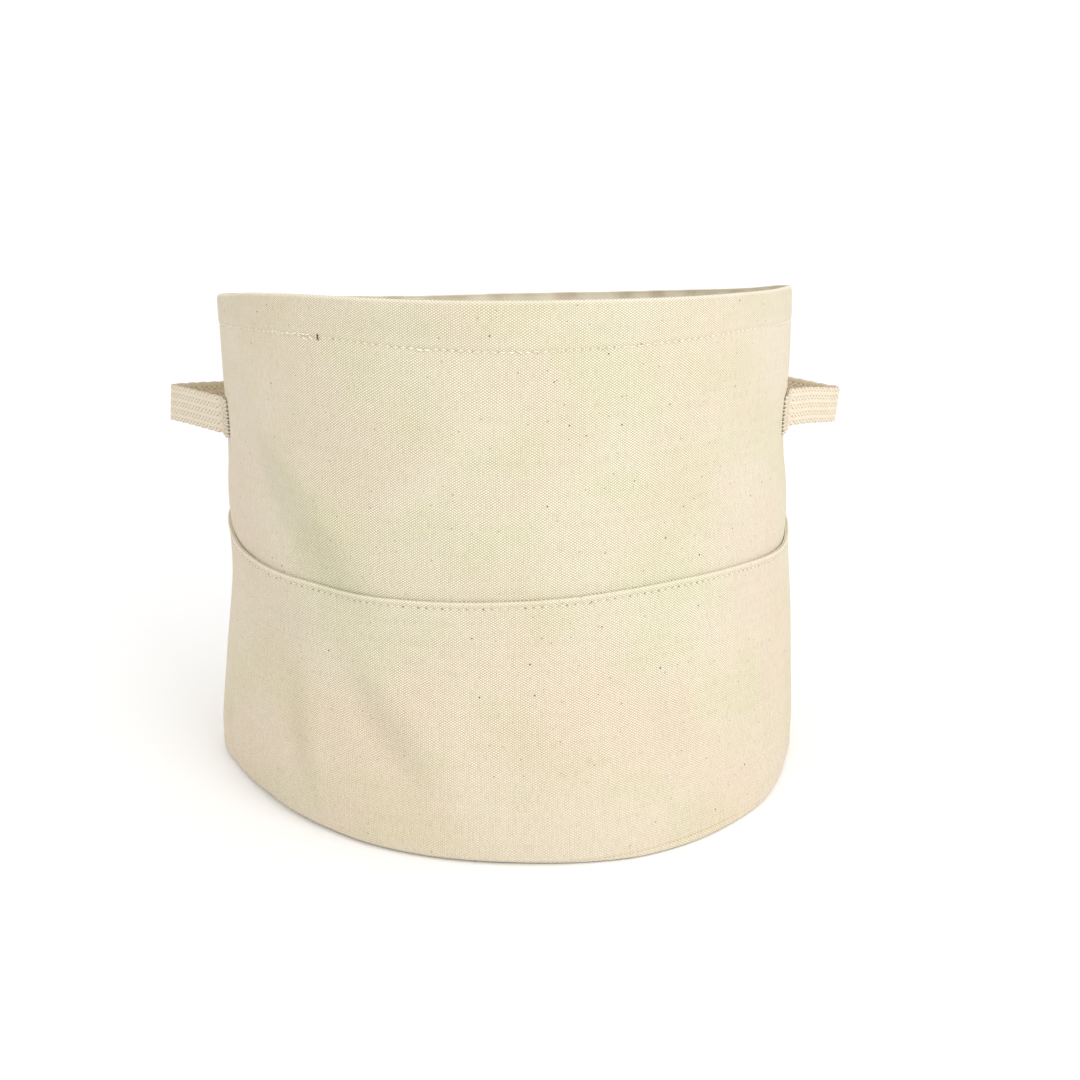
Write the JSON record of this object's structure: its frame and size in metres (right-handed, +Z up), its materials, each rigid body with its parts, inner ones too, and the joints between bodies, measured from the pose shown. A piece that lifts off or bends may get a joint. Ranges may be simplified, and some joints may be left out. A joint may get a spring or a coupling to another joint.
{
  "type": "tool bucket organizer",
  "caption": "Round open-topped canvas tool bucket with a flat base, an outer pocket band round its lower half and webbing loop handles at the sides.",
  "frame": {"origin": "middle of the bucket's base, on the surface it stands on", "axes": "+Z up through the open mouth, -Y is the front, +X runs to the right handle"},
  "size_m": [0.3602, 0.3198, 0.242],
  "materials": {
    "canvas": "matte undyed plain-weave cotton duck",
    "webbing": "matte undyed ribbed cotton webbing",
    "binding_tape": "matte undyed cotton twill tape",
    "thread": "matte undyed cotton sewing thread"
  },
  "bodies": {
    "bucket": {"front_wall": "canvas", "back_wall": "canvas", "base_outer_disc": "canvas", "base_inner_disc": "canvas", "base_seam_binding": "binding_tape", "left_side_seam_tape": "binding_tape", "right_side_seam_tape": "binding_tape", "left_handle_front_end": "webbing", "left_handle_rear_end": "webbing", "right_handle_front_end": "webbing", "right_handle_rear_end": "webbing", "rim_hem_stitching": "thread", "base_seam_stitching": "thread", "left_side_seam_stitching": "thread", "right_side_seam_stitching": "thread", "left_handle_tacks": "thread", "right_handle_tacks": "thread"},
    "left_handle": {"left_handle_loop": "webbing"},
    "right_handle": {"right_handle_loop": "webbing"},
    "front_pocket": {"front_pocket_band": "canvas", "front_pocket_stitching": "thread"},
    "back_pocket": {"back_pocket_band": "canvas", "back_pocket_stitching": "thread"}
  },
  "joints": [
    {"name": "left_handle_flex", "type": "hinge", "parent": "bucket", "child": "left_handle", "pos_m": [-0.146, 0, 0.182], "axis": [0, 1, 0], "range_deg": [-45, 45], "stiffness_Nm_per_rad": 0.03},
    {"name": "right_handle_flex", "type": "hinge", "parent": "bucket", "child": "right_handle", "pos_m": [0.146, 0, 0.182], "axis": [0, -1, 0], "range_deg": [-45, 45], "stiffness_Nm_per_rad": 0.03},
    {"name": "front_pocket_open", "type": "hinge", "parent": "bucket", "child": "front_pocket", "pos_m": [0, -0.1598, 0.003], "axis": [1, 0, 0], "range_deg": [0, 7], "stiffness_Nm_per_rad": 0.5},
    {"name": "back_pocket_open", "type": "hinge", "parent": "bucket", "child": "back_pocket", "pos_m": [0, 0.1598, 0.003], "axis": [-1, 0, 0], "range_deg": [0, 7], "stiffness_Nm_per_rad": 0.5}
  ]
}
